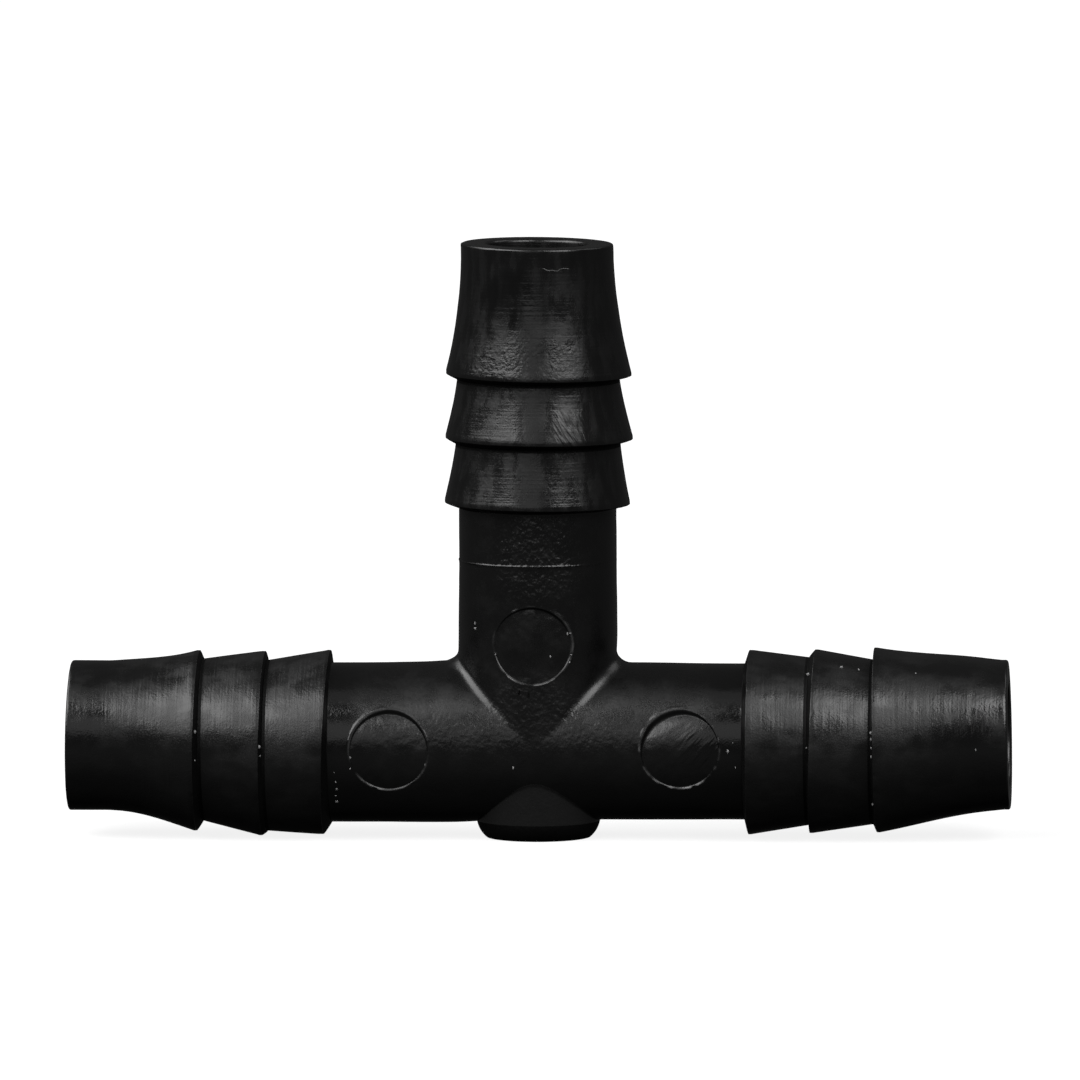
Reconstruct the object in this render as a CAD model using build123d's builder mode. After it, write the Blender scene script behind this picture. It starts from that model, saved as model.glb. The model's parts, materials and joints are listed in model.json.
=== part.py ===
from build123d import *
import os

# Barbed hose tee for 13 mm (1/2 in) irrigation hose, in millimetres.
#
# The origin is where the run's axis crosses the branch's axis. The run lies along X, the branch rises
# along +Z, and the ejector-pin marks face -Y. The real fitting is one injection moulding. Its named
# sections are separate solids here, meeting face to face where the moulding changes shape: the hub,
# the neck above the witness line of the branch's cavity insert, the three barbs of each hose spigot,
# and the gate boss under the hub.

# Overall
run_length = 76.0
branch_height = 40.3           # from the run's axis to the branch's open end
bore_diameter = 8.2
tube_diameter = 12.6

# Hose spigots: two short barbs and a long tip barb, alike on both ends of the run and on the branch
crest_diameter = 14.8          # largest diameter of every barb
crest_land = 0.3               # short cylindrical stretch at each crest
back_lean = 0.3                # a barb's back face leans outward by this much from root to crest
barb_pitch = 5.2
inner_small_end = 13.5         # where the inner barb runs out at the middle barb's root
middle_small_end = 13.1        # where the middle barb runs out at the tip barb's root
tip_barb_length = 10.9
tip_diameter = 12.1
end_edge_radius = 0.2
tip_lead = {"left": 3.1, "right": 0.5, "branch": 0.8}          # straight stretch at the open end
flare_hollow = {"left": 0.28, "right": 0.14, "branch": 0.22}   # sagitta of the flare's hollow

# Hub
crotch_radius = 1.25           # fillet between the run and the branch
witness_height = 14.75
pin_mark_diameter = 6.5
pin_mark_depth = 0.08
run_mark_spacing = 23.4        # between the two marks on the run
branch_mark_height = 8.3

# Gate boss, with heights below the run's axis
boss_top_diameter = 11.2
boss_top_height = -3.1
boss_rim_diameter = 9.9
boss_rim_height = -6.5
boss_face_diameter = 8.4
boss_face_height = -7.7

bore_radius = bore_diameter / 2
tube_radius = tube_diameter / 2
crest_radius = crest_diameter / 2
tip_radius = tip_diameter / 2
spigot_length = 2 * barb_pitch + tip_barb_length
hub_length = run_length - 2 * spigot_length
neck_length = branch_height - spigot_length - witness_height

# Profile plane of each spigot: local x runs out along the spigot's axis, and local y is the radius
spigot_planes = {
    "left": Plane(origin=(0, 0, 0), x_dir=(-1, 0, 0), z_dir=(0, 1, 0)),
    "right": Plane(origin=(0, 0, 0), x_dir=(1, 0, 0), z_dir=(0, -1, 0)),
    "branch": Plane(origin=(0, 0, 0), x_dir=(0, 0, 1), z_dir=(0, 1, 0)),
}
spigot_ends = {"left": run_length / 2, "right": run_length / 2, "branch": branch_height}

along_run = (0, 90, 0)
upright = (Align.CENTER, Align.CENTER, Align.MIN)


def save(part, name):
    part.label = name
    export_step(part, f"parts/{name}.step")


def make_short_barb(plane, start, root_diameter, small_end_diameter):
    """A leaning back face from the root at start, a crest, and a cone that runs out one pitch further on."""
    end = start + barb_pitch
    crest = start + back_lean
    with BuildPart() as barb:
        with BuildSketch(plane):
            with BuildLine():
                Polyline(
                    (start, bore_radius),
                    (start, root_diameter / 2),
                    (crest, crest_radius),
                    (crest + crest_land, crest_radius),
                    (end, small_end_diameter / 2),
                    (end, bore_radius),
                    close=True,
                )
            make_face()
        revolve(axis=Axis((0, 0, 0), plane.x_dir))
    return barb.part


def make_tip_barb(plane, end, lead, hollow):
    """A leaning back face, a crest, a hollow flare down to a straight lead, and a rounded open end."""
    start = end - tip_barb_length
    crest = start + back_lean
    axis = Axis((0, 0, 0), plane.x_dir)
    with BuildPart() as barb:
        with BuildSketch(plane):
            with BuildLine():
                Polyline(
                    (end - lead, tip_radius),
                    (end, tip_radius),
                    (end, bore_radius),
                    (start, bore_radius),
                    (start, middle_small_end / 2),
                    (crest, crest_radius),
                    (crest + crest_land, crest_radius),
                )
                SagittaArc((crest + crest_land, crest_radius), (end - lead, tip_radius), -hollow)
            make_face()
        revolve(axis=axis)
        end_edges = barb.edges().filter_by(GeomType.CIRCLE).group_by(axis)[-1]
        fillet(end_edges.sort_by(SortBy.RADIUS)[-1], radius=end_edge_radius)
    return barb.part


os.makedirs("parts", exist_ok=True)

for name, plane in spigot_planes.items():
    end = spigot_ends[name]
    start = end - spigot_length
    inner_barb = make_short_barb(plane, start, tube_diameter, inner_small_end)
    middle_barb = make_short_barb(plane, start + barb_pitch, inner_small_end, middle_small_end)
    tip_barb = make_tip_barb(plane, end, tip_lead[name], flare_hollow[name])
    save(inner_barb, f"{name}_inner_barb")
    save(middle_barb, f"{name}_middle_barb")
    save(tip_barb, f"{name}_tip_barb")

# Each ejector-pin mark is a shallow disc whose floor follows the tube that it lies on
mark_disc = extrude(Plane.XZ * Circle(pin_mark_diameter / 2), amount=crest_radius)
run_mark = mark_disc - Cylinder(tube_radius - pin_mark_depth, hub_length, rotation=along_run)
branch_mark = mark_disc - Cylinder(tube_radius - pin_mark_depth, hub_length)

# Hub: the plain run, the foot of the branch, the fillets between them, the marks and both bores
with BuildPart() as tee_hub:
    Cylinder(tube_radius, hub_length, rotation=along_run)
    Cylinder(tube_radius, witness_height, align=upright)
    fillet(tee_hub.edges().filter_by(GeomType.ELLIPSE), radius=crotch_radius)
    with GridLocations(run_mark_spacing, 0, 2, 1):
        add(run_mark, mode=Mode.SUBTRACT)
    with Locations((0, 0, branch_mark_height)):
        add(branch_mark, mode=Mode.SUBTRACT)
    Cylinder(bore_radius, hub_length, rotation=along_run, mode=Mode.SUBTRACT)
    Cylinder(bore_radius, witness_height, align=upright, mode=Mode.SUBTRACT)
save(tee_hub.part, "tee_hub")

# Neck: the plain tube from the witness line to the branch's inner barb
with BuildPart() as branch_neck:
    with BuildSketch(Plane.XY.offset(witness_height)):
        Circle(tube_radius)
        Circle(bore_radius, mode=Mode.SUBTRACT)
    extrude(amount=neck_length)
save(branch_neck.part, "branch_neck")

# Gate boss: drafted side, rounded rim and flat face, saddled on the underside of the run
boss_draft = (boss_rim_diameter / 2 - boss_top_diameter / 2, boss_rim_height - boss_top_height)
with BuildPart() as gate_boss:
    with BuildSketch(Plane.XZ):
        with BuildLine():
            Polyline(
                (boss_face_diameter / 2, boss_face_height),
                (0, boss_face_height),
                (0, 0),
                (boss_top_diameter / 2, 0),
                (boss_top_diameter / 2, boss_top_height),
                (boss_rim_diameter / 2, boss_rim_height),
            )
            TangentArc(
                (boss_rim_diameter / 2, boss_rim_height),
                (boss_face_diameter / 2, boss_face_height),
                tangent=boss_draft,
            )
        make_face()
    revolve(axis=Axis.Z)
    Cylinder(tube_radius, hub_length, rotation=along_run, mode=Mode.SUBTRACT)
save(gate_boss.part, "gate_boss")
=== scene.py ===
import json
import math
from collections import namedtuple

import bmesh
import bpy
import numpy as np
from mathutils import Matrix, Vector


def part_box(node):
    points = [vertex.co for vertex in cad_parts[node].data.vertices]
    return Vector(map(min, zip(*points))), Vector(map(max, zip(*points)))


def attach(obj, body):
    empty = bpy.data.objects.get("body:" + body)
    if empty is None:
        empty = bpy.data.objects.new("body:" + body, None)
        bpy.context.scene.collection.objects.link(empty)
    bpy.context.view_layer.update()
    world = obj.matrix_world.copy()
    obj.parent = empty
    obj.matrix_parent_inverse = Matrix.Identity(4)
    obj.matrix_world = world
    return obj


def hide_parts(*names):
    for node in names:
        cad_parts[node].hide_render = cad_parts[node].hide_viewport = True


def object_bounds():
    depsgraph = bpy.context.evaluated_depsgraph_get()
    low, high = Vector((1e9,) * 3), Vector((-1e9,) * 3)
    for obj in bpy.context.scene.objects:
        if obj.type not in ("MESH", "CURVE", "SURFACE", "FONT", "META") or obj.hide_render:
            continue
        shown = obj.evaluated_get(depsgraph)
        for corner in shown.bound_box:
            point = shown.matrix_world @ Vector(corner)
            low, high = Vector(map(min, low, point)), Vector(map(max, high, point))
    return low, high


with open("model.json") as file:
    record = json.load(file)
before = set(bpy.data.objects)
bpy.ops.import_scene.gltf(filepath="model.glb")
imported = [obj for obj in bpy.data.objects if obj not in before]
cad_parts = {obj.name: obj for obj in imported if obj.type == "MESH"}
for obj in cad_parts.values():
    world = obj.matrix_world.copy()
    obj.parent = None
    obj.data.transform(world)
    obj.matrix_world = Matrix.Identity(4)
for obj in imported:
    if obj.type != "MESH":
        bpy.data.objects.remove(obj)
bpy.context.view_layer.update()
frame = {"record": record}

# Barbed hose tee, rebuilt section by section as finely meshed mouldings around the CAD frame.
# Lengths are in millimetres until a mesh is written. The scene itself is in metres.
MM = 0.001

# ------ Sizes from the frame

mounts = {m["name"]: m for m in frame["record"]["mounts"]}
hub_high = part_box("tee_hub")[1] / MM
neck_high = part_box("branch_neck")[1] / MM
boss_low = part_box("gate_boss")[0] / MM
bore_radius = mounts["run_bore"]["dims"]["r_mm"]
tube_radius = neck_high.x
hub_half = hub_high.x
witness_height = hub_high.z    # top of the hub, where the neck starts

# ------ Sizes of the mouldings

crest_land = 0.25
crotch_radius = 1.25
crotch_zone = 8.2              # distance from the origin inside which the crotch shapes the tubes
edge_round = 0.05              # crests
root_round = 0.07              # inside corner where a barb's back face rises
end_round = 0.2                # outer edge of an open end
mouth_round = 0.3              # bore's edge at an open end
bead_height = 0.035            # flash along the parting line, where the mould halves met
bead_width = 0.05
witness_bead_height = 0.05
witness_bead_width = 0.07

# One barb as it cooled: its crest's radius, the radius where it runs out, how far its crest and its end lie
# off the axis (towards the spigot's "up"), how far its back face leans outward, and how much its crest
# line tilts
Barb = namedtuple("Barb", "crest end off_crest off_end back tilt")

# "root" is the plain tube's radius and offset where the first barb rises, and "lead" the straight stretch at
# the open end. "hollow" is how far the tip barb's flare sags, and "bow" above 1 makes the short barbs' cones
# hollow. "rise" is the share of the tip barb's length in which its offset builds up, "short" is how far the
# open end shrank back, and "end_tilt" is how much its face tilts.
spigots = {
    "left": {
        "axis": (-1, 0, 0), "up": (0, 0, 1), "root": (6.43, -0.12),
        "lead": 3.1, "hollow": 0.24, "bow": 1.0, "rise": 0.62, "short": 0.17, "end_tilt": -0.018,
        "inner": Barb(7.43, 6.90, -0.12, -0.41, 0.34, -0.036),
        "middle": Barb(7.44, 6.55, -0.235, 0.05, 0.25, -0.016),
        "tip": Barb(7.29, 6.05, -0.02, 0.37, 0.35, -0.016),
    },
    "right": {
        "axis": (1, 0, 0), "up": (0, 0, 1), "root": (6.29, 0.03),
        "lead": 0.5, "hollow": 0.10, "bow": 1.0, "rise": 0.82, "short": 0.0, "end_tilt": -0.018,
        "inner": Barb(7.43, 6.77, -0.02, 0.09, 0.30, 0.004),
        "middle": Barb(7.40, 6.64, 0.08, 0.045, 0.22, 0.028),
        "tip": Barb(7.45, 6.04, 0.20, 0.66, 0.12, -0.018),
    },
    "branch": {
        "axis": (0, 0, 1), "up": (1, 0, 0), "root": (6.34, 0.0),
        "lead": 1.3, "hollow": 0.26, "bow": 1.25, "rise": 1.0, "short": 0.0, "end_tilt": -0.010,
        "inner": Barb(7.45, 6.64, -0.03, 0.05, 0.30, -0.014),
        "middle": Barb(7.54, 6.55, 0.14, 0.09, 0.34, -0.010),
        "tip": Barb(7.46, 6.14, 0.12, 0.02, 0.30, -0.014),
    },
}

# An ejector-pin mark: the tube it lies on, its centre (x, z), radius and depth, how much deeper it is towards
# deep_side (an angle from +X, like the other sides), the side where its flash is strongest, how torn that
# flash is, how much its lips are painted lighter (stress-whitening and a painted highlight), and the side
# where a ridge was pushed up
Mark = namedtuple("Mark", "tube x z radius depth extra deep_side flash_side torn worn ridge_side")
marks = [
    Mark("run", -11.7, 0.0, 3.17, 0.07, 0.26, 82, -98, 0.2, 0.45, 145),
    Mark("run", 11.7, 0.0, 3.17, 0.07, 0.40, 122, -97, 1.0, 0.75, 132),
    Mark("branch", -0.1, 8.35, 3.12, 0.07, 0.15, 62, -75, 0.5, 0.45, 8),
]

# Crumbs of flash and nicks, painted light grey: stress-whitening and painted glints. x, z, the radius of the
# surface there, and their size
hub_flecks = [(-1.67, -1.5, 6.32, 0.10), (15.6, -0.1, 6.30, 0.14), (-16.1, -1.9, 6.44, 0.07),
              (-16.0, -2.7, 6.46, 0.08), (-15.95, -3.3, 6.47, 0.12), (-16.05, -3.9, 6.5, 0.09),
              (-16.0, -4.4, 6.52, 0.14), (16.2, -1.4, 6.28, 0.08), (16.0, 0.6, 6.28, 0.06),
              (-14.8, -0.7, 6.42, 0.08), (-14.8, -1.6, 6.43, 0.10), (-8.5, -0.6, 6.36, 0.10),
              (-8.75, -1.25, 6.36, 0.08), (-8.6, -2.2, 6.38, 0.07)]
branch_flecks = [(-4.82, 9.95, 6.36, 0.11), (-4.78, 9.55, 6.36, 0.13), (1.33, 7.5, 6.24, 0.09),
                 (2.7, 9.3, 6.34, 0.10), (2.9, 9.35, 6.36, 0.10), (3.0, 7.6, 6.35, 0.09),
                 (2.85, 7.0, 6.35, 0.10), (-3.1, 7.6, 6.36, 0.07)]
barb_flecks = {
    "left_middle_barb": [(-22.05, 0.25, 7.25, 0.15), (-22.0, -0.5, 7.2, 0.08)],
    "left_tip_barb": [(-27.25, 1.4, 7.0, 0.11), (-27.25, -0.9, 7.0, 0.07)],
    "right_middle_barb": [(21.95, 5.9, 7.12, 0.15), (24.6, 6.4, 7.12, 0.14), (26.0, 6.2, 6.95, 0.09),
                          (21.95, 0.3, 7.1, 0.07)],
    "right_tip_barb": [(27.15, 1.5, 7.1, 0.15), (27.15, 1.0, 7.1, 0.13), (27.18, 0.3, 7.1, 0.10),
                       (27.16, -0.4, 7.1, 0.10), (27.2, -4.4, 7.15, 0.11), (30.6, 6.0, 7.16, 0.10),
                       (35.5, 0.1, 6.22, 0.08)],
}


# ------ Numeric helpers

def smooth_noise(points, cell, seed):
    """Value noise from -1 to 1 at each point, with features about one cell across."""
    table = np.random.default_rng(seed).uniform(-1, 1, 4096)
    grid = np.asarray(points, float) / cell
    base = np.floor(grid).astype(np.int64)
    part = grid - base
    part = part * part * (3 - 2 * part)
    total = np.zeros(len(grid))
    for corner in np.ndindex(2, 2, 2):
        cell_id = base + corner
        key = (cell_id[:, 0] * 73856093) ^ (cell_id[:, 1] * 19349663) ^ (cell_id[:, 2] * 83492791)
        weight = np.prod(np.where(np.array(corner) == 1, part, 1 - part), axis=1)
        total += table[key % 4096] * weight
    return total


def smoothstep(value):
    value = np.clip(value, 0, 1)
    return value * value * (3 - 2 * value)


def spaced(start, end, step):
    """Evenly spaced values from start to end, both included, about one step apart."""
    count = max(1, int(round(abs(end - start) / step)))
    return [float(v) for v in np.linspace(start, end, count + 1)]


def arc(centre, radius, start_deg, end_deg, count):
    """Points of an arc in a profile's plane."""
    angles = np.radians(np.linspace(start_deg, end_deg, count))
    return [(centre[0] + radius * math.cos(a), centre[1] + radius * math.sin(a)) for a in angles]


def half_turn(step):
    """Angles from -90 to 90 degrees, closer together around 0, where the parting line lies."""
    near = [0.0, 0.15, 0.3, 0.5, 0.75, 1.1, 1.7]
    side = near + spaced(1.7, 90, step)[1:]
    return np.radians([-a for a in reversed(side[1:])] + side)


# ------ Meshes

def ring_faces(starts, count):
    """Faces between rings of count points, given the number of each ring's first point."""
    faces = []
    for here, there in zip(starts, starts[1:]):
        for k in range(count):
            after = (k + 1) % count
            faces.append((here + k, here + after, there + after, there + k))
    return faces


def fan_faces(start, count, middle):
    """Triangles from a ring of count points to a point in its middle."""
    return [(start + k, start + (k + 1) % count, middle) for k in range(count)]


def add_object(name, data):
    """A new object in the scene."""
    made = bpy.data.objects.new(name, data)
    bpy.context.scene.collection.objects.link(made)
    return made


def add_fleck(points, faces, whitening_and_glint, centre, size, seed):
    """Adds a closed, lumpy crumb of plastic at a point of the surface, painted light grey: stress-whitening
    and a painted glint.
    """
    rng = np.random.default_rng(seed)
    stretch = np.array([rng.uniform(0.6, 1.0), 0.6, rng.uniform(0.7, 1.5)]) * size
    crumb = bmesh.new()
    bmesh.ops.create_icosphere(crumb, subdivisions=2, radius=1.0)
    first = len(points)
    lumps = np.array([v.co[:] for v in crumb.verts])
    lumps *= 1 + 0.25 * rng.uniform(-1, 1, (len(lumps), 1))
    new_faces = [tuple(first + v.index for v in face.verts) for face in crumb.faces]
    crumb.free()
    points = np.concatenate([points, centre + lumps * stretch])
    whitening_and_glint = np.concatenate([whitening_and_glint, np.ones(len(lumps))])
    return points, faces + new_faces, whitening_and_glint


def make_piece(name, points, faces, materials, whitening_and_glint, painted_shade_faces=(), body=None):
    """Writes a mesh in metres, lets it stand for the CAD node of its name, and gives it its finish.

    painted_shade_faces lists the faces that take the second of the materials, the painted shade. body is how
    many faces the moulding itself has, without the crumbs after it. They are turned over where recalculating
    the normals took the inside for the outside.
    """
    mesh = bpy.data.meshes.new(name + "_mesh")
    mesh.from_pydata((np.asarray(points) * MM).tolist(), [], faces)
    tidy = bmesh.new()
    tidy.from_mesh(mesh)
    bmesh.ops.recalc_face_normals(tidy, faces=tidy.faces)
    if tidy.calc_volume(signed=True) < 0:
        tidy.faces.ensure_lookup_table()
        bmesh.ops.reverse_faces(tidy, faces=tidy.faces[:body])
    tidy.to_mesh(mesh)
    tidy.free()
    mesh.polygons.foreach_set("use_smooth", [True] * len(mesh.polygons))
    # Lightens crumbs and mark lips: stress-whitening, painted glints and painted highlights
    mesh.attributes.new("whitening_and_glint", "FLOAT", "POINT").data.foreach_set("value", whitening_and_glint)
    for material in materials:
        mesh.materials.append(material)
    for number in painted_shade_faces:
        mesh.polygons[number].material_index = 1
    piece = add_object(name + "_moulding", mesh)
    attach(piece, "root")
    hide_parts(name)


def parting_bead(points):
    """Height of the flash along the parting plane y = 0, fine and broken."""
    broken = 0.65 + 0.35 * smooth_noise(points * [1, 0, 1], 1.3, 7)
    return bead_height * broken * np.exp(-(points[:, 1] / bead_width) ** 2)


def waviness(points):
    """Slight unevenness that cooling leaves in a moulded wall."""
    return 0.012 * smooth_noise(points, 3.1, 11) + 0.003 * smooth_noise(points, 1.1, 12)


def witness_bead(across, height):
    """Height of the bead round the branch at the witness line, which fades towards +X."""
    fading = witness_bead_height * (1 - 0.7 * smoothstep((across - 2.5) / 2))
    return fading * np.exp(-((height - witness_height) / witness_bead_width) ** 2)


def surface_point(x, z, radius, axis_along_x):
    """Point on the front of a tube, from its x and z."""
    across = z if axis_along_x else x
    return np.array([x, -math.sqrt(radius ** 2 - across ** 2), z])


# ------ Barbs

crest_points = 9               # points of a profile that round its crest
# groove_rings: these rings take the painted shade, like the back faces
groove_rings = 8               # last rings of a short barb's outside, in the groove before the next barb
turn_step = 1.25               # degrees between the lines of a turned surface
nicks = 14                     # small dents in each crest


def back_and_crest(start, root, crest, back_lean):
    """Profile of a barb's bore edge, its leaning back face, and its rounded crest and land."""
    crest_at = start + back_lean
    outer = crest - edge_round
    face = [(start, bore_radius), (start, root)]
    for radius in spaced(root, outer, 0.15)[1:-1]:
        face.append((start + back_lean * (radius - root) / (crest - root), radius))
    turn = arc((crest_at + edge_round, outer), edge_round, 180, 90, crest_points - 2)
    return face + turn + [(crest_at + edge_round + 0.03, crest), (crest_at + crest_land, crest)]


def short_barb_profile(start, end, root, barb, bow):
    """The back, the outside and the bore of a barb that runs out at the next barb's root."""
    crest, small_end = barb.crest, barb.end
    back = back_and_crest(start, root, crest, barb.back)
    cone_start, cone_end = start + barb.back + crest_land, end - root_round
    cone = []
    for along in spaced(cone_start, cone_end, 0.2)[1:]:
        share = (cone_end - along) / (cone_end - cone_start)
        cone.append((along, small_end + (crest - small_end) * share ** bow))
    fillet = arc((cone_end, small_end + root_round), root_round, -90, -10, 6)[1:]
    fillet.append((end, small_end + root_round))
    bore = [(along, bore_radius) for along in spaced(end, start, 1.0)[:-1]]
    return back, cone + fillet, bore


def tip_barb_profile(start, end, root, barb, lead, hollow):
    """The back, the outside and the bore of a barb with a hollow flare, a straight lead and an open end."""
    crest, tip = barb.crest, barb.end
    back = back_and_crest(start, root, crest, barb.back)
    flare_start, lead_start = start + barb.back + crest_land, end - lead
    flare = []
    for along in spaced(flare_start, lead_start, 0.2)[1:]:
        share = (along - flare_start) / (lead_start - flare_start)
        flare.append((along, crest + (tip - crest) * share - 4 * hollow * share * (1 - share)))
    straight_lead = [(along, tip) for along in spaced(lead_start, end - end_round, 0.3)[1:-1]]
    edge = arc((end - end_round, tip - end_round), end_round, 90, 0, 8)
    rim = [(end, r) for r in spaced(tip - end_round, bore_radius + mouth_round, 0.2)[1:-1]]
    mouth = arc((end - mouth_round, bore_radius + mouth_round), mouth_round, 0, -90, 8)
    bore = [(along, bore_radius) for along in spaced(end - mouth_round, start, 1.0)[1:-1]]
    return back, flare + straight_lead + edge, rim + mouth + bore


def turn_profile(profile):
    """Rings of points of a closed profile turned about an axis, and the faces between them."""
    angles = np.concatenate([half_turn(turn_step), half_turn(turn_step)[1:-1] + math.pi])
    count = len(angles)
    along = np.repeat([p[0] for p in profile], count)
    radius = np.repeat([p[1] for p in profile], count)
    theta = np.tile(angles, len(profile))
    starts = [*range(0, len(theta), count), 0]
    return along, radius, theta, ring_faces(starts, count)


def place_turned(spigot, along, radius, theta, offset=0.0, tilt=0.0):
    """Points in space of turned coordinates, moved off the axis and tilted towards the spigot's up."""
    axis, up = np.array(spigot["axis"], float), np.array(spigot["up"], float)
    side = np.cross(axis, up)
    upward = radius * np.cos(theta)
    return (np.outer(along + tilt * upward, axis) + np.outer(upward + offset, up)
            + np.outer(radius * np.sin(theta), side))


def make_barb(name, side, barb, start, end, root, root_offset, materials):
    """Turns one barb, lets it sit as it cooled, and adds what the mould and handling left on it."""
    spigot = spigots[side]
    size = spigot[barb]
    is_tip = barb == "tip"
    if is_tip:
        end -= spigot["short"]
        back, outer, inner = tip_barb_profile(start, end, root, size, spigot["lead"], spigot["hollow"])
    else:
        back, outer, inner = short_barb_profile(start, end, root, size, spigot["bow"])
    profile = back + outer + inner
    along, radius, theta, faces = turn_profile(profile)
    per_ring = len(theta) // len(profile)
    part = np.repeat([0] * len(back) + [1] * len(outer) + [2] * len(inner), per_ring)

    crest_at = start + size.back
    share = (along - crest_at) / (end - crest_at)
    rise = smoothstep(share / spigot["rise"]) if is_tip else np.clip(share, 0, 1)
    outward_share = np.clip((radius - root) / (size.crest - root), 0, 1)
    on_back = root_offset + (size.off_crest - root_offset) * outward_share
    on_back = np.where(radius < root - 0.5, 0.0, on_back)
    on_outside = size.off_crest + (size.off_end - size.off_crest) * rise
    in_bore = size.off_end * rise * is_tip
    offset = np.select([part == 0, part == 1], [on_back, on_outside], in_bore)
    down_cone = np.clip((radius - size.end) / (size.crest - size.end), 0, 1)
    tilt = size.tilt * np.select([part == 0, part == 1], [outward_share, down_cone], 0.0)
    if is_tip:
        tilt = tilt + spigot["end_tilt"] * smoothstep((along - end + 6) / 6)

    nominal = place_turned(spigot, along, radius, theta)
    outside = smoothstep((radius - bore_radius - mouth_round - 0.1) / 0.5)
    relief = outside * (parting_bead(nominal) + waviness(nominal))
    whitening_and_glint = np.zeros(len(radius))
    rng = np.random.default_rng([len(name), ord(name[0]), ord(barb[0])])
    for _ in range(nicks):
        angle, width, depth = (rng.uniform(*span) for span in ((0, 2 * math.pi), (0.1, 0.3), (0.01, 0.05)))
        apart = (theta - angle + math.pi) % (2 * math.pi) - math.pi
        dent = np.exp(-(apart * radius / width) ** 2 - ((along - crest_at) / 0.2) ** 2)
        relief = relief - depth * dent * (radius > size.crest - 0.4)
    if is_tip:
        at_rim = smoothstep((along - end + 0.35) / 0.3) * outside
        relief = relief + 0.03 * at_rim * smooth_noise(nominal, 0.9, 17)
    points = place_turned(spigot, along, radius + relief, theta, offset, tilt)
    body = len(faces)
    for number, (x, z, r, fleck) in enumerate(barb_flecks.get(name, [])):
        centre = surface_point(x, z, r, side != "branch")
        points, faces, whitening_and_glint = add_fleck(points, faces, whitening_and_glint, centre, fleck, [len(name), number])
    # Painted shade: the back face, and on a short barb the groove before the next barb, take the second,
    # darker material
    rings = list(range(1, len(back) - crest_points))
    if not is_tip:
        rings += range(len(back) + len(outer) - groove_rings, len(back) + len(outer))
    shaded_groove_faces = [ring * per_ring + k for ring in rings for k in range(per_ring)]
    make_piece(name, points, faces, materials, whitening_and_glint, shaded_groove_faces, body)


def make_spigot(side, materials):
    spigot = spigots[side]
    axis = Vector(spigot["axis"])
    root, root_offset = spigot["root"]
    for barb in ("inner", "middle", "tip"):
        name = f"{side}_{barb}_barb"
        ends = [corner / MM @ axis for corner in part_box(name)]
        make_barb(name, side, barb, min(ends), max(ends), root + root_round, root_offset, materials)
        root, root_offset = spigot[barb].end, spigot[barb].off_end


# ------ Hub

skin_step = 2.25               # degrees between the lines of the hub's skin
crotch_steps = 26              # rows of the skin between the crotch's zone and the fillet
fillet_steps = 14              # rows of the fillet
ring_count = 240               # points round an ejector-pin mark or the boss
mark_margin = 0.75             # how far past a mark's edge its rings replace the skin
mark_past_edge = (0.47, 0.37, 0.29, 0.23, 0.19, 0.16, 0.135, 0.11, 0.09, 0.07, 0.05, 0.035, 0.02, 0.01, 0.0,
                  -0.01, -0.02, -0.03, -0.045, -0.06, -0.08, -0.10, -0.13, -0.16, -0.20, -0.25, -0.31, -0.39,
                  -0.50)       # the rings at a mark's edge, closest together at its wall
mark_floor_radii = (2.5, 2.3, 2.1, 1.8, 1.5, 1.15, 0.8, 0.5, 0.2)


def rows_towards_joint(far_end):
    """Distances from an end of the hub to the crotch's zone, close together at the end's root fillet."""
    close = [far_end - root_round * share for share in (0, 0.05, 0.15, 0.3, 0.5, 0.75, 1.0)]
    return close + spaced(close[-1], crotch_zone, 0.26)[1:]


def tee_surface(radius, fillet):
    """Points, outward normals and faces of the tee's skin at a radius, with a rolling-ball fillet."""
    angles = half_turn(skin_step)
    run_rows = rows_towards_joint(hub_half)
    branch_rows = rows_towards_joint(witness_height)[::-1]
    steps = spaced(0, 1, 1 / crotch_steps)
    reach = radius + fillet
    points, normals, faces = [], [], []

    def add_grid(columns):
        first = len(points)
        depth = len(columns[0])
        for column in columns:
            for point, normal in column:
                points.append(point)
                normals.append(normal)
        for c in range(len(columns) - 1):
            for d in range(depth - 1):
                a = first + c * depth + d
                faces.append((a, a + 1, a + 1 + depth, a + depth))

    for side in (1, -1):
        columns = []
        for angle in angles:
            sine, cosine = math.sin(angle), math.cos(angle)
            run_normal = (0, sine, cosine)
            branch_normal = (side * cosine, sine, 0)
            edge = reach * cosine
            along_run = run_rows + [crotch_zone + (edge - crotch_zone) * t for t in steps[1:]]
            column = [((side * x, radius * sine, radius * cosine), run_normal) for x in along_run]
            if fillet:
                turn = math.acos(max(-1.0, min(1.0, sine * sine)))
                for t in spaced(0, 1, 1 / fillet_steps)[1:]:
                    if turn > 1e-6:
                        near = math.sin((1 - t) * turn) / math.sin(turn)
                        far = math.sin(t * turn) / math.sin(turn)
                    else:
                        near, far = 1 - t, t
                    normal = tuple(near * n + far * b for n, b in zip(run_normal, branch_normal))
                    centre = (side * edge, reach * sine, edge)
                    point = tuple(c - fillet * n for c, n in zip(centre, normal))
                    column.append((point, normal))
            up_branch = [edge + (crotch_zone - edge) * t for t in steps[1:]] + branch_rows[1:]
            column += [((side * radius * cosine, radius * sine, z), branch_normal) for z in up_branch]
            columns.append(column)
        add_grid(columns)

    half_rows = run_rows + [crotch_zone * (1 - t) for t in steps[1:]]
    rows = half_rows + [-x for x in reversed(half_rows[:-1])]
    columns = []
    for angle in angles:
        sine, cosine = math.sin(angle), math.cos(angle)
        columns.append([((x, radius * sine, -radius * cosine), (0, sine, -cosine)) for x in rows])
    add_grid(columns)
    return np.array(points), np.array(normals), faces


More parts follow.
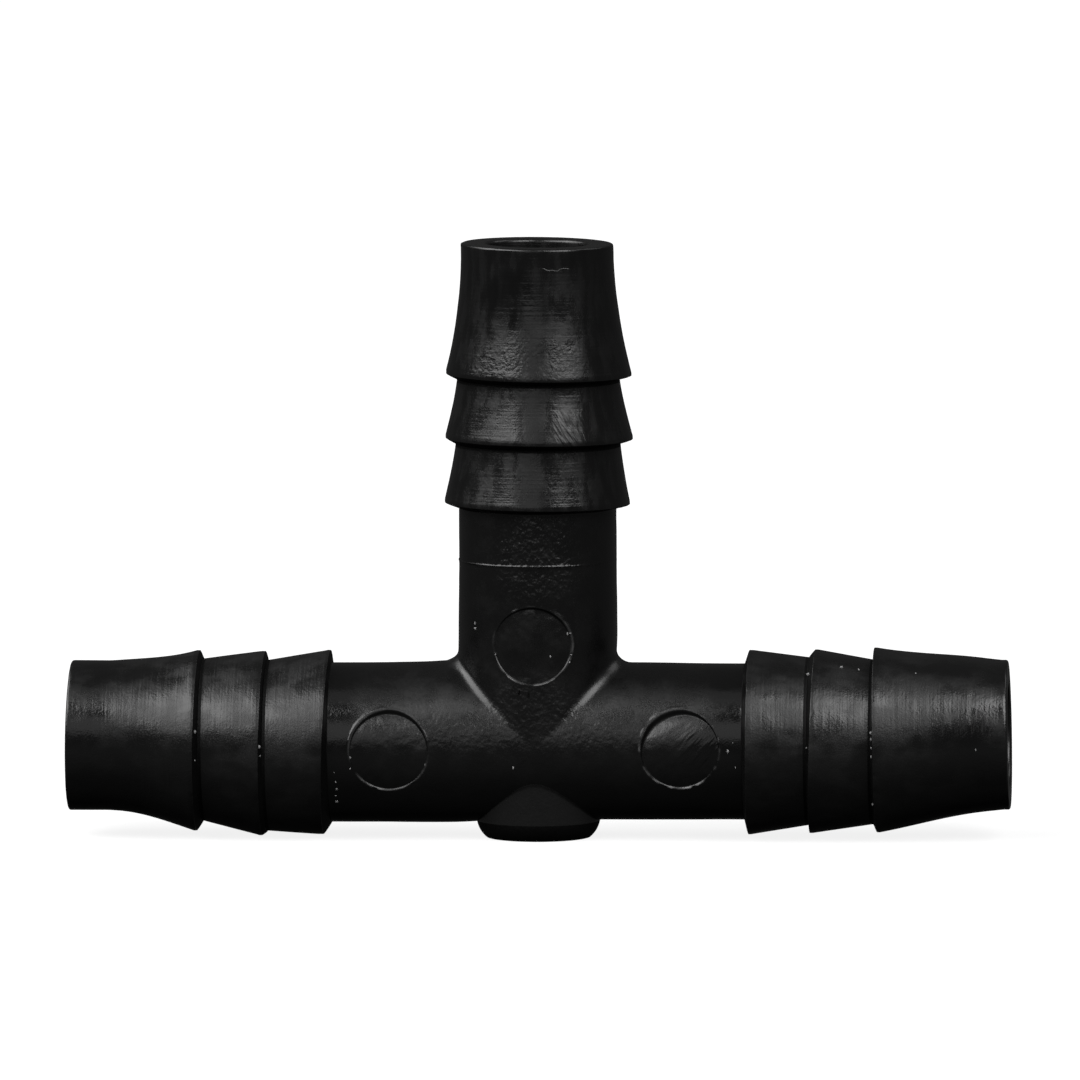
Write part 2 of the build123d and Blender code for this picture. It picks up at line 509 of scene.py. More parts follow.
def weld(points, faces):
    """Joins points closer than a tenth of a micron, and drops faces that collapse to a line."""
    first, inverse = np.unique(np.round(points, 4) + 0.0, axis=0, return_index=True, return_inverse=True)[1:]
    inverse = inverse.reshape(-1)
    welded = []
    for face in faces:
        loop = []
        for index in inverse[list(face)]:
            if index not in loop:
                loop.append(int(index))
        if len(loop) > 2:
            welded.append(tuple(loop))
    return first, welded


def border_loop(removed, kept):
    """The closed chain of points between the faces taken out and the faces that stay."""
    def edges(faces):
        return {frozenset((face[k], face[k - 1])) for face in faces for k in range(len(face))}

    neighbours = {}
    for edge in edges(removed) & edges(kept):
        a, b = edge
        neighbours.setdefault(a, []).append(b)
        neighbours.setdefault(b, []).append(a)
    start = min(neighbours)
    loop, before, here = [start], None, start
    while True:
        following = [n for n in neighbours[here] if n != before]
        before, here = here, following[0]
        if here == start:
            return loop
        loop.append(here)


def zip_loops(points, outer, outer_angles, inner, inner_angles):
    """Triangles between two closed loops of points that run the same way round one centre.

    Each step takes the shorter way across, unless one loop is getting ahead of the other.
    """
    most_ahead = math.radians(3)
    triangles = []
    i = j = 0
    while i < len(outer) or j < len(inner):
        here, there = outer[i % len(outer)], inner[j % len(inner)]
        next_outer, next_inner = outer[(i + 1) % len(outer)], inner[(j + 1) % len(inner)]
        if i == len(outer) or j == len(inner):
            outer_goes = i < len(outer)
        elif abs(outer_angles[i] - inner_angles[j]) > most_ahead:
            outer_goes = outer_angles[i] < inner_angles[j]
        else:
            outer_goes = (np.linalg.norm(points[next_outer] - points[there])
                          <= np.linalg.norm(points[next_inner] - points[here]))
        if outer_goes:
            triangles.append((here, next_outer, there))
            i += 1
        else:
            triangles.append((here, next_inner, there))
            j += 1
    return triangles


def facing(angles, side):
    """How much angles round a mark face a side, which is in degrees: 1 there and 0 opposite."""
    return (1 + np.cos(angles - math.radians(side))) / 2


def noise_ring(angles):
    """Places on a circle of 3 mm, where the noise round a mark is read."""
    return np.column_stack([3 * np.cos(angles), 3 * np.sin(angles), 0 * angles])


def bump_at(radius, centre, width):
    """1 at a distance from a mark's middle, and falling off within a width."""
    return math.exp(-((radius - centre) / width) ** 2)


def mark_flash(mark, angles, seed):
    """How strong the broken rim of flash round an ejector-pin mark is, at angles round it."""
    ring = noise_ring(angles)
    torn = mark.torn
    broken = 0.55 + (0.4 + 0.3 * torn) * smooth_noise(ring, 1.5, seed)
    broken += (0.4 + 0.9 * torn) * smooth_noise(ring, 0.35, seed + 1)
    strongest = facing(angles, mark.flash_side)
    spread = smoothstep((strongest - 0.45 - 0.3 * torn) / 0.35)
    return np.clip(broken, 0, 1.3 + torn) * (0.25 + 0.75 * spread)


def mark_ridge(mark, angles, seed):
    """How strong the ridge beside the mark is, where the pin pushed plastic aside."""
    broken = 0.6 + 0.7 * smooth_noise(noise_ring(angles), 0.6, seed + 3)
    return np.clip(broken, 0, 1.2) * smoothstep((facing(angles, mark.ridge_side) - 0.78) / 0.15)


def mark_whitening_and_glint(mark, radius, angles, seed):
    """Lighter lips of the flash and of the ridge: stress-whitening where they were torn or rubbed, and a
    painted highlight, strongest on the flash side, the lower side, where light from above falls.
    """
    worn = np.clip(1.2 * mark_flash(mark, angles, seed) - 0.2, 0, 1) + 0.35 * mark_ridge(mark, angles, seed)
    return mark.worn * worn * bump_at(radius, mark.radius + 0.05, 0.08)


def mark_height(mark, radius, angles, seed):
    """Height of a mark's surface above the tube: a lip of flash, a soft wall and a tilted floor."""
    deeper = mark.extra * facing(angles, mark.deep_side) ** 3
    step = smoothstep((mark.radius + 0.01 - radius) / (0.05 + deeper))
    floor = mark.depth + deeper * min(1.0, radius / 3.0) ** 3
    lip = 0.07 * mark_flash(mark, angles, seed) * bump_at(radius, mark.radius + 0.07, 0.06)
    lip += 0.06 * mark_ridge(mark, angles, seed) * bump_at(radius, mark.radius + 0.14, 0.10)
    pits = 0.014 * smooth_noise(noise_ring(angles) / 3 * radius, 0.5, seed + 2)
    return lip - (floor + pits) * step


def sink_mark(points, normals, sunk, whitening_and_glint, faces, mark, seed):
    """Replaces the skin around an ejector-pin mark with rings that follow the mark's edge.

    sunk is how far each point goes out from the tube, below 0 for inwards. Returns the enlarged arrays.
    """
    on_run = mark.tube == "run"
    u, w = points[:, 0] - mark.x, points[:, 2] - mark.z
    inside = (np.hypot(u, w) < mark.radius + mark_margin) & (points[:, 1] < 0)
    kept, removed = [], []
    for face in faces:
        (removed if any(inside[i] for i in face) else kept).append(face)
    outer = border_loop(removed, kept)
    angles = np.unwrap([math.atan2(w[i], u[i]) for i in outer])
    if angles[-1] < angles[0]:
        outer, angles = outer[::-1], angles[::-1]
    start = int(np.argmin(np.mod(angles + math.pi, 2 * math.pi)))
    outer = outer[start:] + outer[:start]
    outer_angles = np.unwrap([math.atan2(w[i], u[i]) for i in outer])
    outer_angles = outer_angles - 2 * math.pi * round((outer_angles[0] + math.pi) / (2 * math.pi))

    ring_angles = -math.pi + 2 * math.pi * (np.arange(ring_count) + 0.5) / ring_count
    radii = [mark.radius + step for step in mark_past_edge] + list(mark_floor_radii)
    first = len(points)
    rings = [(points, normals, sunk, whitening_and_glint)]
    for r in radii:
        x, z = mark.x + r * np.cos(ring_angles), mark.z + r * np.sin(ring_angles)
        across = z if on_run else x
        y = -np.sqrt(tube_radius ** 2 - across ** 2)
        flat = np.zeros(ring_count)
        normal = (flat, y, across) if on_run else (across, y, flat)
        rings.append((np.column_stack([x, y, z]), np.column_stack(normal) / tube_radius,
                      mark_height(mark, r, ring_angles, seed), mark_whitening_and_glint(mark, r, ring_angles, seed)))
    rings.append(([surface_point(mark.x, mark.z, tube_radius, on_run)], [[0, -1, 0]], [-mark.depth], [0.0]))
    points, normals, sunk, whitening_and_glint = (np.concatenate(parts) for parts in zip(*rings))

    middle = first + len(radii) * ring_count
    patch = ring_faces(range(first, middle, ring_count), ring_count)
    patch += fan_faces(middle - ring_count, ring_count, middle)
    collar = zip_loops(points, outer, outer_angles, range(first, first + ring_count), ring_angles)
    return points, normals, sunk, whitening_and_glint, kept + patch + collar


def end_halves(radius, end):
    """The two half circles of skin points at one of the hub's three ends."""
    angles = half_turn(skin_step)
    sine, cosine = radius * np.sin(angles), radius * np.cos(angles)
    if end == "branch":
        flat = np.full(len(angles), witness_height)
        return [np.column_stack([cosine, sine, flat]), np.column_stack([-cosine, sine, flat])]
    flat = np.full(len(angles), hub_half if end == "right" else -hub_half)
    return [np.column_stack([flat, sine, cosine]), np.column_stack([flat, sine, -cosine])]


def settled_tube(points, normals):
    """How much the hub's three arms swell, and how far the run's arms sink or rise, as they cooled."""
    x, z = points[:, 0], points[:, 2]
    up = smoothstep((z - 6.3) / 2.5)
    left, right = smoothstep((-x - 2) / 5) * (1 - up), smoothstep((x - 6) / 9)
    radii = {side: spigots[side]["root"][0] - tube_radius for side in spigots}
    swell = radii["left"] * left + radii["right"] * right + radii["branch"] * up
    shoulder = 0.10 * (1 - smoothstep((np.abs(x) - 7) / 9)) + 0.12 * np.exp(-((x + 6.8) / 1.6) ** 2)
    swell += shoulder * smoothstep((normals[:, 2] - 0.2) / 0.8) * smoothstep((np.abs(x) - 3) / 4)
    swell += 0.04 * up * (1 - smoothstep((z - 9) / 6))
    drop = spigots["left"]["root"][1] * left + spigots["right"]["root"][1] * right
    return swell, drop


def make_hub(materials):
    skin, skin_normals, skin_faces = tee_surface(tube_radius, crotch_radius)
    first, faces = weld(skin, skin_faces)
    points, normals = skin[first], skin_normals[first]
    nominal_skin = points
    sunk, whitening_and_glint = np.zeros(len(points)), np.zeros(len(points))
    for number, mark in enumerate(marks):
        seed = 30 + 5 * number
        points, normals, sunk, whitening_and_glint, faces = sink_mark(points, normals, sunk, whitening_and_glint, faces, mark, seed)
    swell, drop = settled_tube(points, normals)
    offset = sunk + swell + waviness(points) + parting_bead(points)
    rise = np.clip(root_round - (hub_half - np.abs(points[:, 0])), 0, root_round)
    offset += root_round - np.sqrt(root_round ** 2 - rise ** 2)
    offset += witness_bead(points[:, 0], points[:, 2])
    points = points + normals * offset[:, None]
    points[:, 2] += drop
    # Painted shade: the hub's rows at the barbs' roots take the second, darker material
    at_barb = np.abs(points[:, 0]) > hub_half - 1.8 * root_round
    shaded_groove_faces = [number for number, face in enumerate(faces) if all(at_barb[i] for i in face)]
    outer_count = len(points)

    core, _, core_faces = tee_surface(bore_radius, 0)
    core_first, core_faces = weld(core, core_faces)
    core_points = core[core_first]
    faces = faces + [tuple(i + outer_count for i in face) for face in core_faces]
    nominal = np.round(np.concatenate([nominal_skin, core_points]), 4) + 0.0
    numbers = np.concatenate([np.arange(len(nominal_skin)), outer_count + np.arange(len(core_points))])
    lookup = {tuple(key): int(n) for key, n in zip(nominal, numbers)}
    for end in ("left", "right", "branch"):
        for outer_half, inner_half in zip(end_halves(tube_radius, end), end_halves(bore_radius, end)):
            outer = [lookup[tuple(p)] for p in np.round(outer_half, 4) + 0.0]
            inner = [lookup[tuple(p)] for p in np.round(inner_half, 4) + 0.0]
            faces += [(outer[k], outer[k + 1], inner[k + 1], inner[k]) for k in range(len(outer) - 1)]
    points = np.concatenate([points, core_points])
    whitening_and_glint = np.concatenate([whitening_and_glint, np.zeros(len(core_points))])
    body = len(faces)
    for number, (x, z, radius, size) in enumerate(hub_flecks + branch_flecks):
        centre = surface_point(x, z, radius, number < len(hub_flecks))
        points, faces, whitening_and_glint = add_fleck(points, faces, whitening_and_glint, centre, size, [91, number])
    make_piece("tee_hub", points, faces, materials, whitening_and_glint, shaded_groove_faces, body)


# ------ Neck and boss

def make_neck(material):
    low, high = witness_height, neck_high.z
    radius_here = spigots["branch"]["root"][0]
    rows = [low + step for step in (0, 0.02, 0.05, 0.1, 0.16)]
    wall = [(z, radius_here) for z in rows + spaced(rows[-1], high - root_round, 0.25)[1:]]
    fillet = arc((high - root_round, radius_here + root_round), root_round, -90, 0, 6)[1:]
    bore = [(z, bore_radius) for z in spaced(high, low, 1.0)]
    along, radius, theta, faces = turn_profile(wall + fillet + bore)
    nominal = place_turned(spigots["branch"], along, radius, theta)
    bead = witness_bead(nominal[:, 0], along)
    relief = (radius > bore_radius + 0.1) * (parting_bead(nominal) + waviness(nominal) + bead)
    points = place_turned(spigots["branch"], along, radius + relief, theta)
    make_piece("branch_neck", points, faces, [material], np.zeros(len(points)))


boss_rim = (4.97, -6.35)       # radius and height where the drafted wall meets the rounded rim
boss_draft = 0.51 / 3.25       # how much wider the wall gets for each mm up
boss_blend = 0.12              # reach of the blend between the boss and the run
boss_face_radius = 4.2
boss_steps = 10                # rows of the wall, and of the rim


def make_boss(materials):
    """A drafted wall that blends into the run above, a rounded rim and a flat face."""
    angles = np.linspace(0, 2 * math.pi, ring_count, endpoint=False)
    cosine, sine = np.cos(angles), np.sin(angles)
    seat = tube_radius - 0.2
    rim_radius, rim_height = boss_rim

    def wall_radius(z):
        return rim_radius + boss_draft * (z - rim_height)

    def saddle(radius, across):
        return -np.sqrt(radius ** 2 - across ** 2)

    def ring(radius, z):
        return np.column_stack([radius * cosine, radius * sine, z * np.ones(ring_count)])

    meet = np.full(ring_count, -5.0)    # where the wall meets the run, from a rough height to the exact one
    for _ in range(12):
        meet = saddle(tube_radius, wall_radius(meet) * sine)
    skirt_radius = wall_radius(meet) + boss_blend
    skirt = ring(skirt_radius, saddle(tube_radius + 0.004, skirt_radius * sine))
    corner = ring(wall_radius(meet), meet)
    wall_top = ring(wall_radius(meet - boss_blend), meet - boss_blend)

    rings = [ring(f * skirt_radius, saddle(seat, f * skirt_radius * sine)) for f in (0.15, 0.4, 0.7, 1.0)]
    rings += [(1 - t) ** 2 * skirt + 2 * t * (1 - t) * corner + t * t * wall_top for t in spaced(0, 1, 1 / 8)]
    for share in spaced(0, 1, 1 / boss_steps)[1:]:
        z = (1 - share) * (meet - boss_blend) + share * rim_height
        rings.append(ring(wall_radius(z), z))
    first_rim_row = len(rings) - 1
    # The rim is an arc that leaves the wall along its draft and ends at the face
    turn = math.atan2(boss_face_radius - rim_radius, boss_low.z - rim_height)
    chord = math.hypot(rim_radius - boss_face_radius, rim_height - boss_low.z)
    tangent = math.atan2(-boss_draft, -1)
    bend = abs(turn - tangent)
    radius = chord / (2 * math.sin(bend))
    for share in spaced(0, 1, 1 / boss_steps)[1:]:
        swing = share * bend
        step = 2 * radius * math.sin(swing)
        heading = tangent + math.copysign(swing, turn - tangent)
        rings.append(ring(rim_radius + step * math.sin(heading), rim_height + step * math.cos(heading)))
    rings += [ring(r, boss_low.z) for r in (4.1, 3.9, 3.4, 2.6, 1.6, 0.6)]
    points = np.concatenate(rings + [[[0, 0, -seat]], [[0, 0, boss_low.z]]])
    top, bottom = len(points) - 2, len(points) - 1
    last = top - ring_count
    faces = ring_faces(range(0, top, ring_count), ring_count)
    faces += fan_faces(0, ring_count, top) + fan_faces(last, ring_count, bottom)
    # Painted shade: the rounded rim and the flat face take the second, darker material
    painted_shade_underside = [*range(first_rim_row * ring_count, last), *range(len(faces) - ring_count, len(faces))]
    make_piece("gate_boss", points, faces, materials, np.zeros(len(points)), painted_shade_underside)


# ------ Materials

# Light grey of the stress-whitening and of the painted glints and highlights on crumbs and the lips of marks
whitening_and_glint_colour = (0.20, 0.20, 0.20, 1)


class Plastic:
    """A black plastic built from noise in the object's own coordinates, in metres."""

    def __init__(self, name, grey):
        self.material = bpy.data.materials.new(name)
        self.material.use_nodes = True
        self.tree = self.material.node_tree
        self.shader = self.tree.nodes["Principled BSDF"]
        self.place = self.tree.nodes.new("ShaderNodeTexCoord").outputs["Object"]
        self.colour = (grey, grey, grey, 1)
        self.height = None

    def node(self, kind, settings=None, **inputs):
        made = self.tree.nodes.new(kind)
        for key, value in (settings or {}).items():
            setattr(made, key, value)
        for key, value in inputs.items():
            socket = made.inputs[int(key[1:])] if key[0] == "i" and key[1:].isdigit() else made.inputs[key]
            if isinstance(value, bpy.types.NodeSocket):
                self.tree.links.new(value, socket)
            else:
                socket.default_value = value
        return made

    def math(self, operation, first, second=0.0, third=0.0):
        return self.node("ShaderNodeMath", {"operation": operation}, i0=first, i1=second, i2=third).outputs[0]

    def times(self, first, second):
        return self.math("MULTIPLY", first, second)

    def plus(self, base, pattern, amount):
        """base, and a pattern times an amount."""
        return self.math("MULTIPLY_ADD", pattern, amount, base)

    def largest(self, first, *others):
        for other in others:
            first = self.math("MAXIMUM", first, other)
        return first

    def coordinates(self):
        return self.node("ShaderNodeSeparateXYZ", Vector=self.place).outputs

    def noise(self, cell, stretch=(1, 1, 1), detail=2.0, turn=0):
        """Noise with features about one cell (mm) across, times stretch along each axis.

        turn is in degrees about the Y axis.
        """
        scale = tuple(1 / (cell * MM * s) for s in stretch)
        rotation = (0, math.radians(turn), 0)
        turned = self.node("ShaderNodeMapping", Vector=self.place, Rotation=rotation).outputs[0]
        placed = self.node("ShaderNodeMapping", Vector=turned, Scale=scale).outputs[0]
        return self.node("ShaderNodeTexNoise", Vector=placed, Scale=1.0, Detail=detail).outputs["Fac"]

    def ramp(self, value, low, high, out_low=0.0, out_high=1.0):
        """Smooth step of a value between low and high."""
        return self.node("ShaderNodeMapRange", {"interpolation_type": "SMOOTHSTEP"},
                         i0=value, i1=low, i2=high, i3=out_low, i4=out_high).outputs[0]

    def spot(self, centre, size):
        """1 at a place (mm), falling to 0 at an ellipsoid's edge."""
        location, scale = Vector(centre) * MM, Vector(size) * MM
        moved = self.node("ShaderNodeMapping", {"vector_type": "TEXTURE"},
                          Vector=self.place, Location=location, Scale=scale).outputs[0]
        distance = self.node("ShaderNodeVectorMath", {"operation": "LENGTH"}, i0=moved).outputs["Value"]
        return self.ramp(distance, 1.0, 0.35)

    def thin_line(self, centre, size, wander, width):
        """A wandering level line through a place (mm), fading out at an ellipsoid's edge."""
        reach = 2.5 * wander
        waver = self.plus((centre[2] - reach) * MM, self.noise(0.9, stretch=(1, 1, 50)), 2 * reach * MM)
        apart = self.math("ABSOLUTE", self.math("SUBTRACT", self.coordinates()[2], waver))
        return self.times(self.ramp(apart, width * MM, 0.0), self.spot(centre, size))

    def raise_by(self, pattern, height):
        """Adds a pattern to the surface's fine relief, height in mm."""
        part = self.times(pattern, height)
        self.height = part if self.height is None else self.math("ADD", self.height, part)

    def finish(self, roughness, pale=None):
        """Sets colour, roughness and relief, and lightens the plastic where crumbs and mark lips are
        stress-whitened and carry painted glints and highlights, and where pale says.
        """
        whitening_and_glint_factor = self.node("ShaderNodeAttribute", {"attribute_name": "whitening_and_glint"}).outputs["Fac"]
        if pale is not None:
            whitening_and_glint_factor = self.math("MAXIMUM", whitening_and_glint_factor, pale)
        colour = self.node("ShaderNodeMix", {"data_type": "RGBA"},
                           i0=whitening_and_glint_factor, i6=self.colour, i7=whitening_and_glint_colour).outputs[2]
        self.tree.links.new(colour, self.shader.inputs["Base Color"])
        self.tree.links.new(roughness, self.shader.inputs["Roughness"])
        bump = self.node("ShaderNodeBump", Strength=1.0, Distance=MM, Height=self.height)
        self.tree.links.new(bump.outputs[0], self.shader.inputs["Normal"])
        return self.material


def hub_plastic():
    """Spark-eroded mould finish: satin, with grainy and hammered patches, and smoother near the barbs."""
    plastic = Plastic("textured_black_plastic", 0.0026)
    low_band = plastic.spot((-1.5, -6.3, 1.0), (16, 2.4, 2.6))
    above_mark = plastic.spot((0.3, -6.3, 15.2), (6.2, 3.0, 5.2))
    crotch_foot = plastic.spot((0, -6.3, 3.2), (6, 2.5, 3.6))
    right_floor = plastic.spot((13.0, -6.3, 0.3), (2.2, 1.5, 2.2))
    worked = plastic.largest(low_band, plastic.times(above_mark, 2.0), plastic.times(crotch_foot, 1.4))
    hammered = plastic.noise(0.36, stretch=(1, 1, 1.2), detail=1.0)
    plastic.raise_by(plastic.times(hammered, plastic.plus(0.14, worked, 0.9)), 0.055)
    plastic.raise_by(plastic.noise(0.13), 0.010)
    cuts = plastic.noise(0.34, stretch=(1, 1, 6), detail=1.0, turn=-42)
    plastic.raise_by(plastic.times(cuts, right_floor), 0.10)
    across, _, height = plastic.coordinates()
    near_barbs = plastic.ramp(plastic.math("ABSOLUTE", across), 0.0115, 0.0160)
    right_end = plastic.ramp(across, 0.0125, 0.0155)
    on_branch = plastic.ramp(height, 0.0062, 0.0080)
    patches = plastic.ramp(plastic.noise(2.2, detail=3.0), 0.40, 0.64)
    rough = plastic.plus(0.22, patches, 0.08)
    for pattern, amount in ((near_barbs, -0.13), (on_branch, -0.04), (crotch_foot, 0.02), (right_end, -0.04),
                            (plastic.noise(0.3), 0.10)):
        rough = plastic.plus(rough, pattern, amount)
    return plastic.finish(rough)


def boss_plastic():
    """Coarser skin of the gate boss, a lighter grey than the hub: a painted reflection of the pale floor."""
    # Base grey three times the hub's: painted reflection of the pale floor on the drafted wall
    plastic = Plastic("gate_boss_plastic_painted_reflection", 0.0075)
    plastic.raise_by(plastic.noise(0.25, detail=3.0), 0.028)
    return plastic.finish(plastic.plus(0.20, plastic.noise(0.8, detail=3.0), 0.2))


def run_barb_plastic():
    """Turned mould inserts on the run: satin, with fine rings and cloudy patches."""
    plastic = Plastic("run_barb_black_plastic", 0.0034)
    plastic.raise_by(plastic.noise(0.20, stretch=(1, 30, 30)), 0.018)
    plastic.raise_by(plastic.noise(0.6, stretch=(1, 20, 20), detail=1.0), 0.018)
    plastic.raise_by(plastic.noise(0.16), 0.014)
    plastic.raise_by(plastic.noise(1.0, stretch=(1, 1.5, 1.5)), 0.035)
    clouds = plastic.noise(2.0, stretch=(1.3, 1, 1), detail=4.0)
    smears = plastic.noise(0.5, stretch=(4, 1, 1))
    near_end = plastic.ramp(plastic.math("ABSOLUTE", plastic.coordinates()[0]), 0.029, 0.036)
    rough = plastic.ramp(clouds, 0.36, 0.66, 0.19, 0.38)
    rough = plastic.plus(rough, smears, 0.12)
    return plastic.finish(plastic.plus(rough, near_end, -0.11))


def branch_barb_plastic():
    """Turned inserts of the branch: fine rings, drag streaks along the branch, and rubbed patches."""
    plastic = Plastic("branch_barb_black_plastic", 0.0034)
    plastic.raise_by(plastic.noise(0.20, stretch=(30, 30, 1)), 0.012)
    plastic.raise_by(plastic.noise(0.14), 0.008)
    streaks = plastic.noise(0.8, stretch=(1, 1, 4), detail=3.0)
    blotches = plastic.noise(1.5, stretch=(1, 1, 1.3), detail=3.0)
    plastic.raise_by(blotches, 0.045)
    low_half = plastic.spot((-0.8, -7, 31.2), (7.0, 4, 3.0))
    rubbed = plastic.spot((2.3, -6.8, 30.9), (2.6, 2, 1.7))
    rubbed_high = plastic.spot((2.0, -6.6, 33.8), (2.4, 2, 1.3))
    dragged = plastic.spot((3.0, -6.6, 25.8), (2.0, 2, 2.2))
    smooth_top = plastic.spot((-1.6, -6.2, 36.4), (3.2, 3, 3.2))
    plastic.raise_by(plastic.times(plastic.noise(0.30), plastic.plus(0.15, low_half, 0.8)), 0.040)
    cuts = plastic.noise(0.26, stretch=(1, 1, 5), detail=1.0, turn=32)
    plastic.raise_by(plastic.times(cuts, dragged), 0.10)
    mottle = plastic.plus(plastic.times(blotches, 0.4), streaks, 0.6)
    rough = plastic.ramp(mottle, 0.37, 0.63, 0.19, 0.34)
    rough = plastic.plus(rough, plastic.largest(rubbed, rubbed_high, dragged), 0.10)
    rough = plastic.plus(rough, smooth_top, -0.12)
    scratch = plastic.thin_line((1.85, -5.9, 38.65), (1.25, 1.5, 0.8), 0.20, 0.05)
    plastic.raise_by(scratch, 0.05)
    return plastic.finish(rough, plastic.times(scratch, 0.6))


def painted_shade_plastic():
    """Painted shade for the grooves between the barbs and the underside of the boss: darker black, hardly any
    shine.
    """
    plastic = Plastic("black_plastic_painted_shade", 0.0016)
    plastic.shader.inputs["Specular IOR Level"].default_value = 0.12
    plastic.raise_by(plastic.noise(0.3), 0.03)
    return plastic.finish(plastic.plus(0.45, plastic.noise(0.7), 0.2))


hub_material = hub_plastic()
boss_painted_reflection_material = boss_plastic()
run_barb_material = run_barb_plastic()
branch_barb_material = branch_barb_plastic()
painted_shade_material = painted_shade_plastic()

# Each piece's second material is painted shade on its grooves or its underside
make_hub([hub_material, painted_shade_material])
make_neck(hub_material)
make_boss([boss_painted_reflection_material, painted_shade_material])
for side, barb_material in (("left", run_barb_material), ("right", run_barb_material),
                            ("branch", branch_barb_material)):
    make_spigot(side, [barb_material, painted_shade_material])

# ------ Studio

def direction(azimuth, elevation):
    """Unit vector from the object: azimuth 0 is the front, -Y, and 90 is the right, +X."""
    a, e = math.radians(azimuth), math.radians(elevation)
    return Vector((math.sin(a) * math.cos(e), -math.cos(a) * math.cos(e), math.sin(e)))


def aim(thing, target):
    thing.rotation_euler = (Vector(target) - thing.location).to_track_quat("-Z", "Y").to_euler()


light_distance = 3.0
light_target = (0, 0, 0.01)


def add_softbox(name, azimuth, elevation, half_width, half_height, radiance):
    """A soft panel of light, given by the angles (degrees) that it spans as the object sees it."""
    light = bpy.data.lights.new(name, "AREA")
    light.shape = "RECTANGLE"
    half_angles = (half_width, half_height)
    light.size, light.size_y = (2 * light_distance * math.tan(math.radians(a)) for a in half_angles)
    light.energy = radiance * math.pi * light.size * light.size_y
    panel = add_object(name, light)
    panel.location = direction(azimuth, elevation) * light_distance
    aim(panel, light_target)


add_softbox("key_left", -61, 42, 31, 20, 4.6)
add_softbox("key_right", 42, 42, 18, 20, 4.9)
add_softbox("key_gap", -6, 22, 14, 14, 0.55)
add_softbox("overhead", -5, 74, 30, 12, 0.25)
add_softbox("side_left", -115, 42, 16, 17, 1.9)
add_softbox("side_right", 118, 45, 14, 15, 1.0)

# Pale paper sweep: a flat floor just under the boss, that curves up into a wall far behind and all round
floor_gap = 0.01 * MM
floor_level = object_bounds()[0].z - floor_gap
sweep_radius, sweep_bend, sweep_height, sweep_sides = 4.5, 1.5, 4.0, 96
sweep_profile = [(r, 0.0) for r in (0.0, 0.4, 1.2, 2.2)]
sweep_profile += arc((sweep_radius - sweep_bend, sweep_bend), sweep_bend, -90, 0, 16)
sweep_profile.append((sweep_radius, sweep_height))
sweep_points = []
for radius, height in sweep_profile:
    for angle in np.linspace(0, 2 * math.pi, sweep_sides, endpoint=False):
        sweep_points.append((radius * math.cos(angle), radius * math.sin(angle), floor_level + height))
sweep_faces = ring_faces(range(0, len(sweep_points), sweep_sides), sweep_sides)
sweep_mesh = bpy.data.meshes.new("paper_sweep")
sweep_mesh.from_pydata(sweep_points, [], sweep_faces)
sweep_mesh.polygons.foreach_set("use_smooth", [True] * len(sweep_mesh.polygons))
sweep = add_object("paper_sweep", sweep_mesh)
paper = bpy.data.materials.new("white_paper")
paper.use_nodes = True
for key, value in (("Base Color", (0.2, 0.2, 0.2, 1)), ("Roughness", 1.0), ("Specular IOR Level", 0.0),
                   ("Emission Color", (1, 1, 1, 1)), ("Emission Strength", 0.86)):
    paper.node_tree.nodes["Principled BSDF"].inputs[key].default_value = value
sweep_mesh.materials.append(paper)
sweep.visible_glossy = False
sweep.visible_diffuse = False
sweep.visible_shadow = False

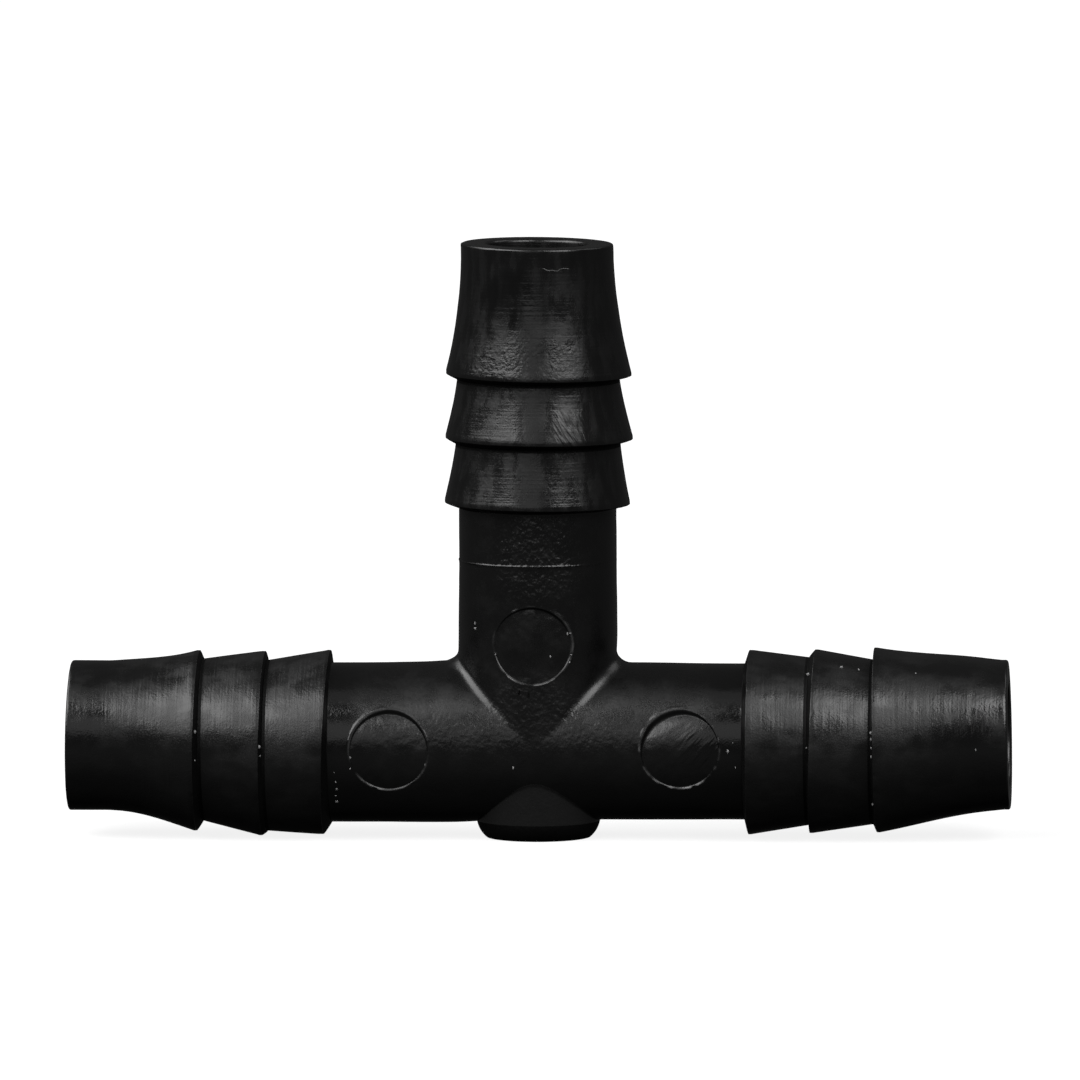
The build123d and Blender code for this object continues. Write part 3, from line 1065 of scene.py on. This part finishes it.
# Dim room light: most from the front, less from behind, and next to none from below and behind
world = bpy.data.worlds.new("studio")
bpy.context.scene.world = world
world.use_nodes = True
room = world.node_tree
split = room.nodes.new("ShaderNodeSeparateXYZ")
room.links.new(room.nodes.new("ShaderNodeTexCoord").outputs["Generated"], split.inputs[0])
to_ramp = room.nodes.new("ShaderNodeMapRange")
to_ramp.inputs["From Min"].default_value = -1
room.links.new(split.outputs["Z"], to_ramp.inputs["Value"])
height_ramp = room.nodes.new("ShaderNodeValToRGB")
room.links.new(to_ramp.outputs[0], height_ramp.inputs[0])
stops = height_ramp.color_ramp.elements    # it has two to begin with, at 0 and 1
stops[0].color = (0.03, 0.03, 0.03, 1)
stops[1].color = (0.10, 0.10, 0.10, 1)
for place, level in ((0.06, 0.04), (0.2, 0.075), (0.36, 0.105), (0.45, 0.065), (0.58, 0.06), (0.7, 0.08)):
    stops.new(place).color = (level, level, level, 1)


def room_fade(source, start, end, far_level):
    """1 falling to far_level as a coordinate of the direction goes from start to end."""
    fade = room.nodes.new("ShaderNodeMapRange")
    for socket, value in (("From Min", start), ("From Max", end), ("To Min", 1.0), ("To Max", far_level)):
        fade.inputs[socket].default_value = value
    room.links.new(source, fade.inputs["Value"])
    return fade.outputs[0]


depth_fade = room.nodes.new("ShaderNodeMix")
room.links.new(room_fade(split.outputs["Z"], -0.5, -0.12, 0.0), depth_fade.inputs["Factor"])
room.links.new(room_fade(split.outputs["Y"], 0.0, 0.8, 0.6), depth_fade.inputs["A"])
room.links.new(room_fade(split.outputs["Y"], -0.1, 0.5, 0.08), depth_fade.inputs["B"])
background = room.nodes["Background"]
room.links.new(height_ramp.outputs[0], background.inputs["Color"])
room.links.new(depth_fade.outputs["Result"], background.inputs["Strength"])

# ------ Camera

camera_azimuth, camera_elevation, camera_roll = 3.3, 5.7, 0.16
camera_distance = 1.6
view_width = 0.087
view_centre = Vector((0.00018, 0, 0.0163))
camera_data = bpy.data.cameras.new("camera")
camera_data.sensor_width = 36
camera_data.lens = camera_data.sensor_width * camera_distance / view_width
camera_data.clip_end = 20
camera = add_object("camera", camera_data)
camera.location = view_centre + direction(camera_azimuth, camera_elevation) * camera_distance
aim(camera, view_centre)
camera.rotation_euler = (camera.rotation_euler.to_matrix()
                         @ Matrix.Rotation(math.radians(-camera_roll), 3, "Z")).to_euler()
bpy.context.scene.camera = camera
bpy.context.scene.view_settings.view_transform = "Standard"
